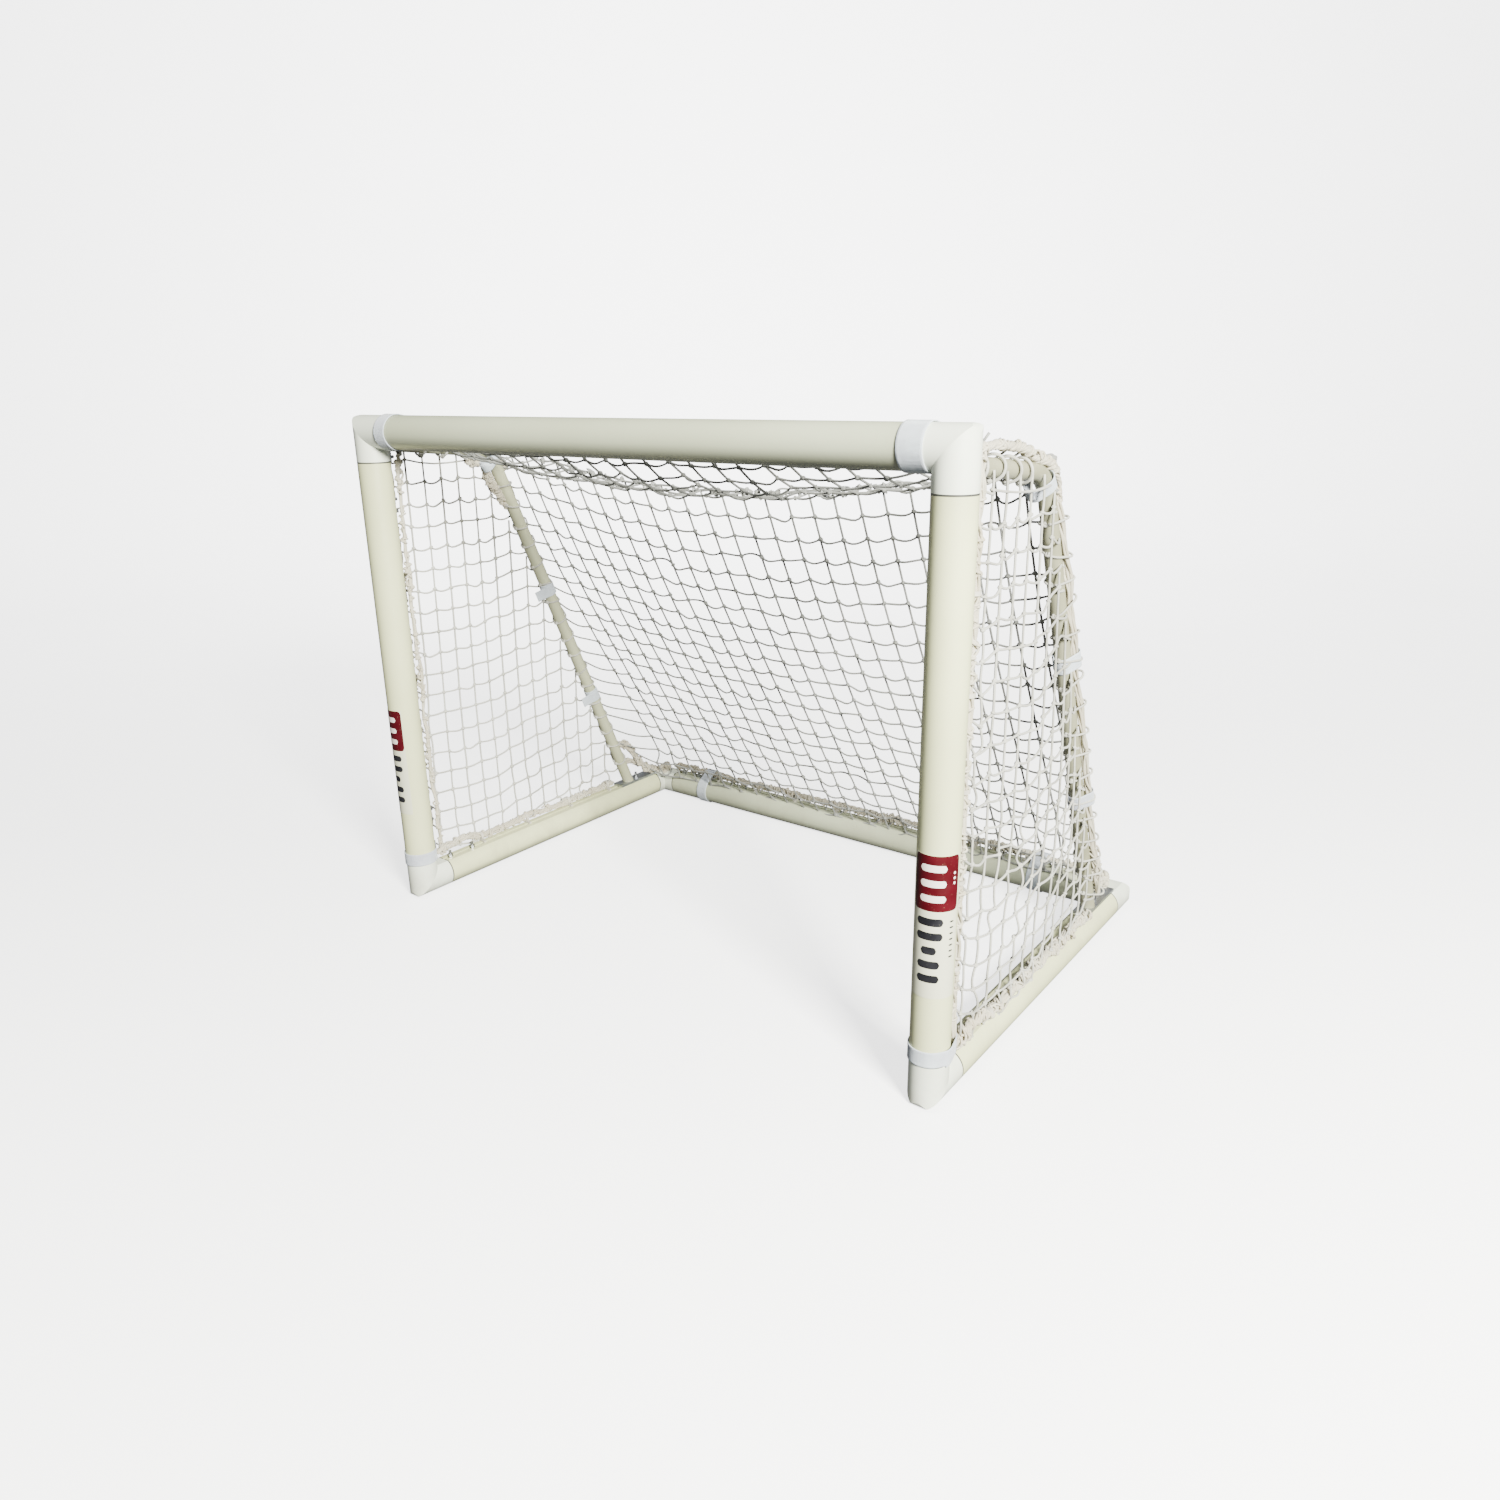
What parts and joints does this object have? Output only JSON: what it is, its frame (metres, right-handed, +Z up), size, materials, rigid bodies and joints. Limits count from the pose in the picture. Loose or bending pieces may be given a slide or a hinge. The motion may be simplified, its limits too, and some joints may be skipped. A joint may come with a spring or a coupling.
{
  "type": "practice goal with net",
  "caption": "Small free-standing practice goal: mitred round-tube frame with bent rear stays, knotted square-mesh net, gathered hems and hook-and-loop straps.",
  "frame": {"origin": "on the floor, midway between the posts and midway from the mouth to the rear bar", "axes": "+X along the crossbar to the right seen from the mouth, +Y from the mouth to the rear bar, +Z up"},
  "size_m": [1.6648, 1.0948, 1.2824],
  "materials": {
    "tube": "cream powder coat, semi-gloss",
    "elbow": "moulded, satin",
    "plate": "bare, satin",
    "fastener": "dark zinc",
    "washer": "zinc",
    "clip": "moulded",
    "net": "knotted braided cord",
    "hem": "gathered and laced netting",
    "strap": "hook-and-loop webbing",
    "decal": "vinyl film"
  },
  "bodies": {
    "root": {"crossbar": "tube", "left_post": "tube", "right_post": "tube", "left_base_tube": "tube", "right_base_tube": "tube", "rear_bar": "tube", "left_top_elbow": "elbow", "right_top_elbow": "elbow", "left_front_elbow": "elbow", "right_front_elbow": "elbow", "left_rear_elbow": "elbow", "right_rear_elbow": "elbow", "left_stay": "tube", "right_stay": "tube", "left_stay_flange": "plate", "right_stay_flange": "plate", "left_foot_plate": "plate", "right_foot_plate": "plate", "corner_studs": "fastener", "foot_plate_studs": "fastener", "corner_nuts": "fastener", "foot_plate_nuts": "fastener", "corner_washers": "washer", "foot_plate_washers": "washer", "crossbar_net_clips": "clip", "left_post_net_clips": "clip", "right_post_net_clips": "clip", "left_base_net_clips": "clip", "right_base_net_clips": "clip", "rear_bar_net_clips": "clip", "crossbar_hem": "hem", "left_post_hem": "hem", "right_post_hem": "hem", "left_base_hem": "hem", "right_base_hem": "hem", "rear_bar_hem": "hem", "left_roof_hem": "hem", "right_roof_hem": "hem", "left_stay_hem": "hem", "right_stay_hem": "hem", "roof_seam_rope": "hem", "left_side_net": "net", "right_side_net": "net", "roof_net": "net", "back_net": "net", "left_crossbar_strap": "strap", "right_crossbar_strap": "strap", "left_post_strap": "strap", "right_post_strap": "strap", "left_rear_strap": "strap", "right_rear_strap": "strap", "left_stay_straps": "strap", "right_stay_straps": "strap", "left_post_decal": "decal", "right_post_decal": "decal"}
  },
  "joints": []
}
